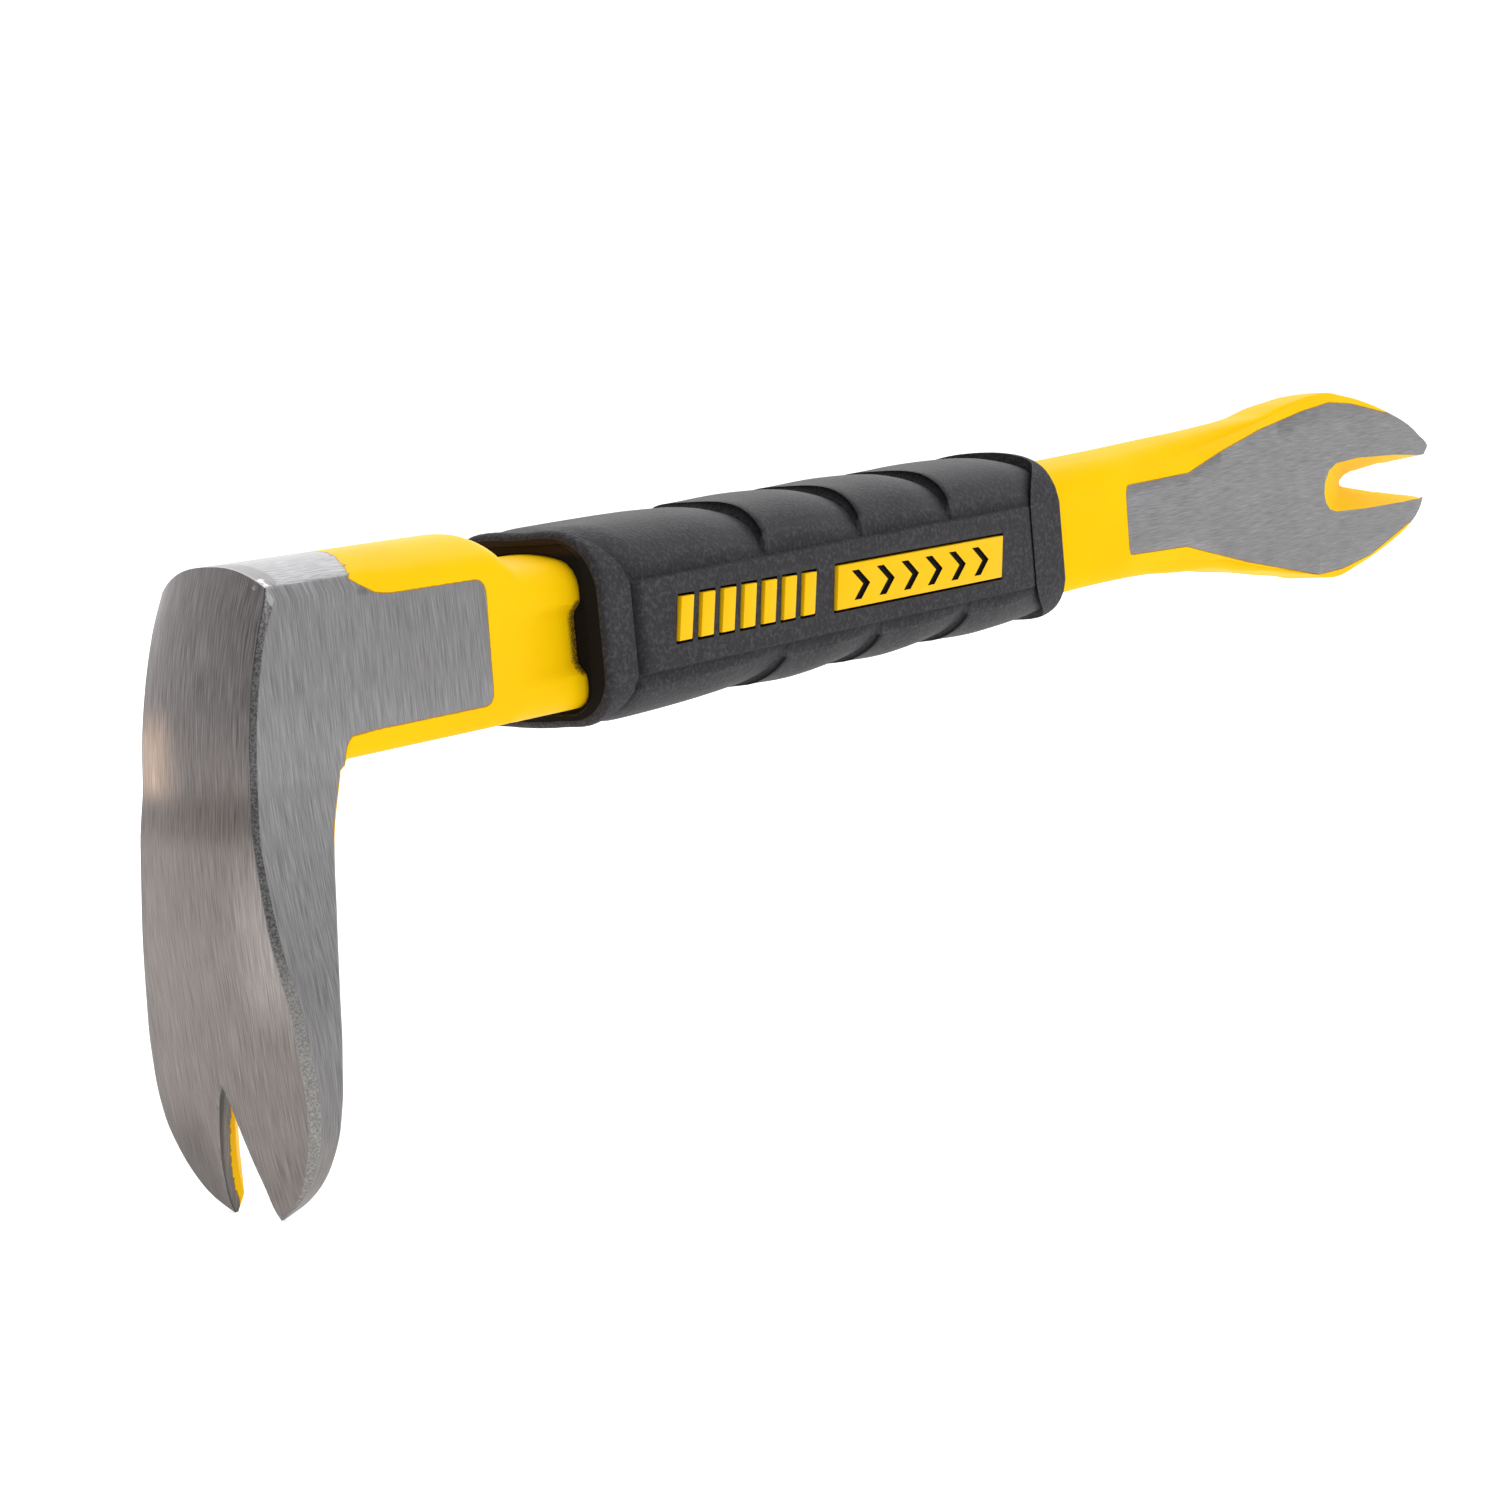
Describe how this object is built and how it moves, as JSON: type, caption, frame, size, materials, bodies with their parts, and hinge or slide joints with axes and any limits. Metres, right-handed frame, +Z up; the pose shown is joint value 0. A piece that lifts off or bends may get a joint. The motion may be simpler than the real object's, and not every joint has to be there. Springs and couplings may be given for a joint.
{
  "type": "claw bar",
  "caption": "Short pry bar with a notched nail claw turned down at right angles, a flat fork claw at the other end, and a two-colour moulded grip between them.",
  "frame": {"origin": "under the middle of the bounding box, at the height of the leg claw's tips", "axes": "+X along the bar towards the fork claw, +Y across the bar, +Z up, away from the leg claw's tips"},
  "size_m": [0.255, 0.0246, 0.0651],
  "materials": {
    "coated_steel": "yellow powder coat, ground away to brushed bare steel on the leg, the head and the fork claw",
    "core_plastic": "satin moulded",
    "sleeve_rubber": "matte, fine sandblast grain"
  },
  "bodies": {
    "root": {"steel_bar": "coated_steel", "grip_core": "core_plastic", "grip_sleeve": "sleeve_rubber"}
  },
  "joints": []
}
